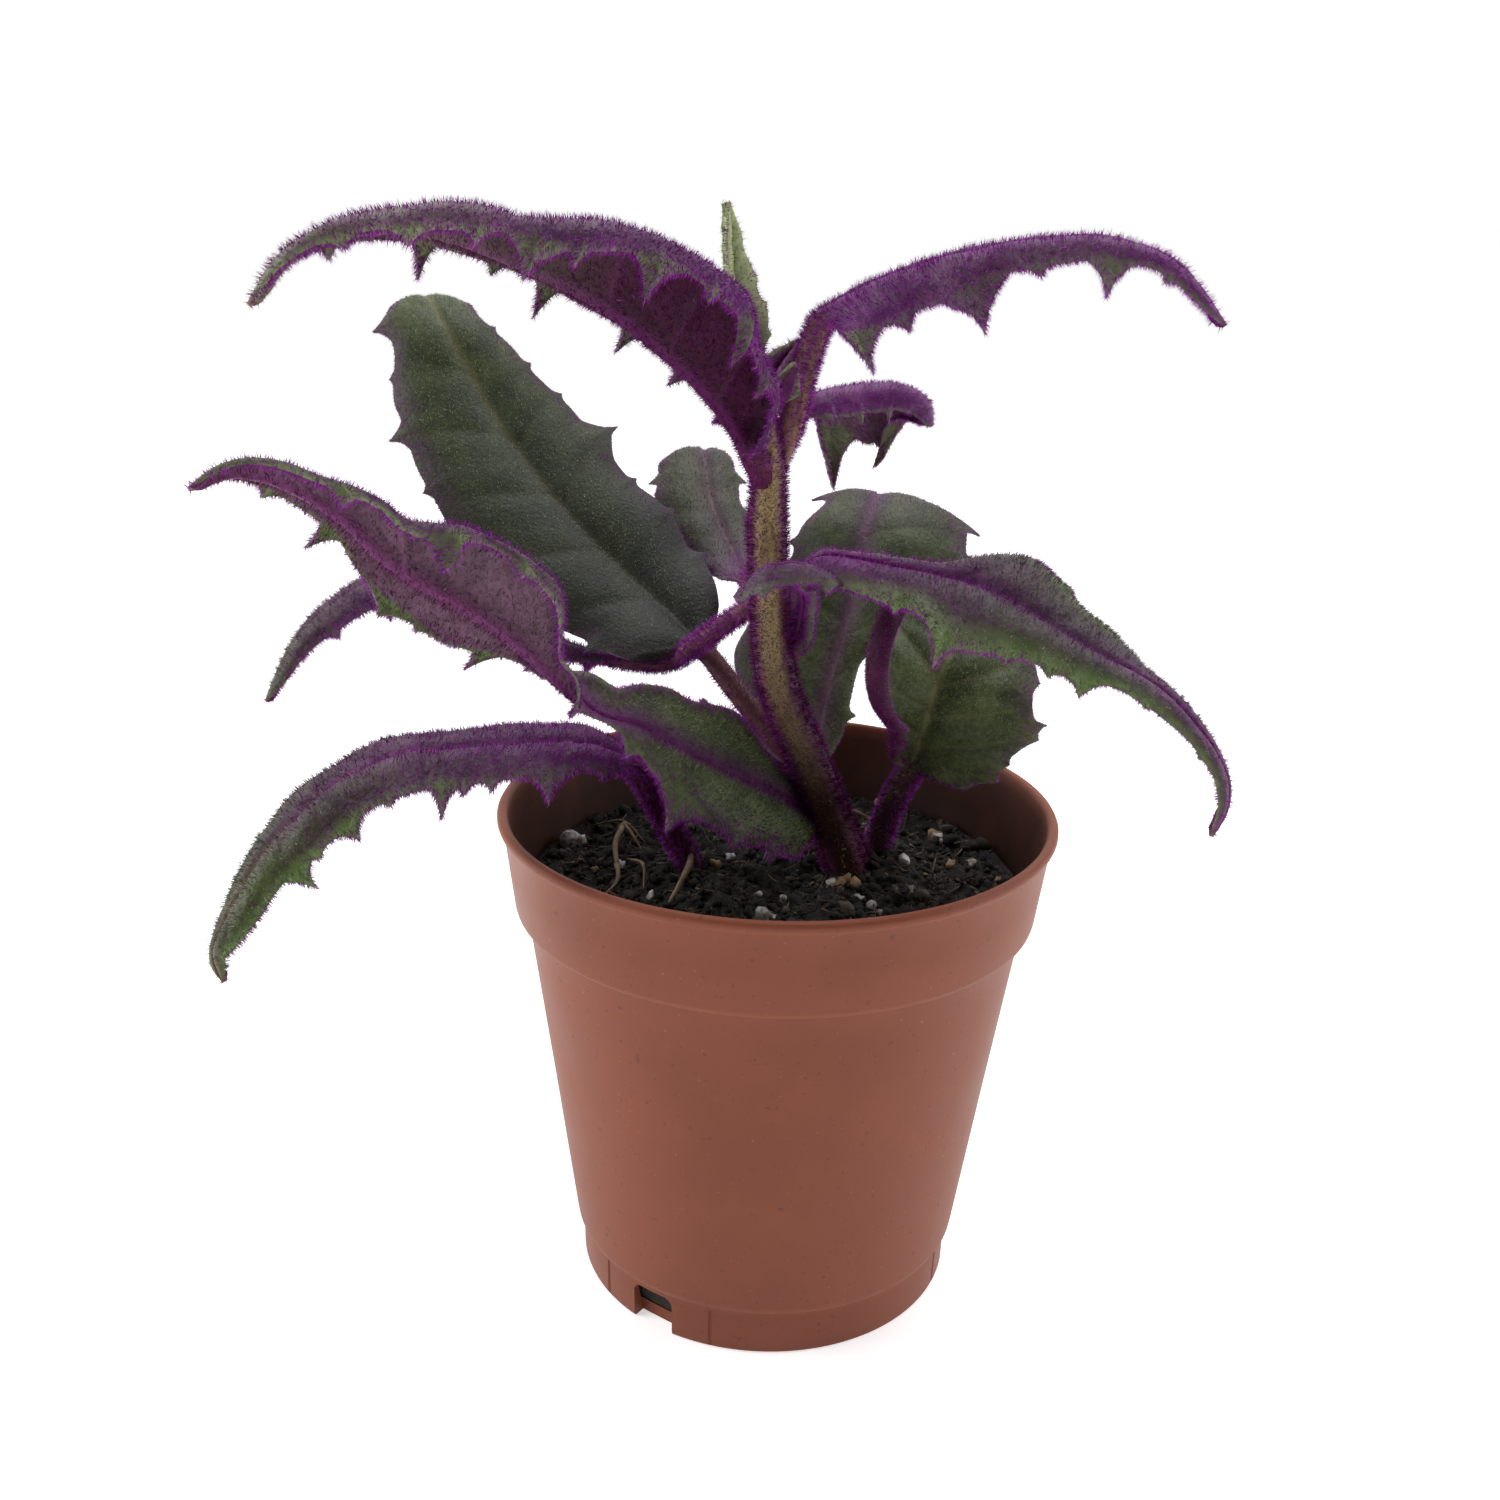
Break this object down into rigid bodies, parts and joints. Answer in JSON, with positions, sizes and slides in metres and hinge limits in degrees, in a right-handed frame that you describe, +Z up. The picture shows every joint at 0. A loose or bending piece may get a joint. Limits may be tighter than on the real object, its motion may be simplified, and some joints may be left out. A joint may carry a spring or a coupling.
{
  "type": "potted houseplant",
  "caption": "Young purple passion plant with velvety toothed leaves in a small terracotta-coloured plastic nursery pot.",
  "frame": {"origin": "centre of the pot's flat underside", "axes": "+Z up along the pot's axis, -Y towards the viewer of the picture, +X to that viewer's right"},
  "size_m": [0.0928, 0.0844, 0.1172],
  "materials": {
    "pot_plastic": "matt, finely speckled terracotta brown",
    "potting_soil": "dark moist peat with white perlite",
    "stem_tissue": "ridged olive green under purple hairs",
    "leaf_top_left_tissue": "velvety dark green under purple hairs, maroon below",
    "leaf_top_right_tissue": "velvety dark green under purple hairs, maroon below",
    "leaf_top_young_tissue": "velvety dark green under purple hairs, maroon below",
    "leaf_back_small_tissue": "velvety dark green under purple hairs, maroon below",
    "leaf_left_broad_tissue": "velvety dark green under purple hairs, maroon below",
    "leaf_front_left_tissue": "velvety dark green under purple hairs, maroon below",
    "leaf_left_hidden_tissue": "velvety dark green under purple hairs, maroon below",
    "leaf_back_left_tissue": "velvety dark green under purple hairs, maroon below",
    "leaf_back_right_tissue": "velvety dark green under purple hairs, maroon below",
    "leaf_right_long_tissue": "velvety dark green under purple hairs, maroon below",
    "leaf_right_front_tissue": "velvety dark green under purple hairs, maroon below",
    "leaf_low_left_tissue": "velvety dark green under purple hairs, maroon below"
  },
  "bodies": {
    "root": {"pot": "pot_plastic", "soil": "potting_soil", "main_stem": "stem_tissue", "leaf_top_left": "leaf_top_left_tissue", "leaf_top_right": "leaf_top_right_tissue", "leaf_top_young": "leaf_top_young_tissue", "leaf_back_small": "leaf_back_small_tissue", "leaf_left_broad": "leaf_left_broad_tissue", "leaf_front_left": "leaf_front_left_tissue", "leaf_left_hidden": "leaf_left_hidden_tissue", "leaf_back_left": "leaf_back_left_tissue", "leaf_back_right": "leaf_back_right_tissue", "leaf_right_long": "leaf_right_long_tissue", "leaf_right_front": "leaf_right_front_tissue", "leaf_low_left": "leaf_low_left_tissue"}
  },
  "joints": []
}
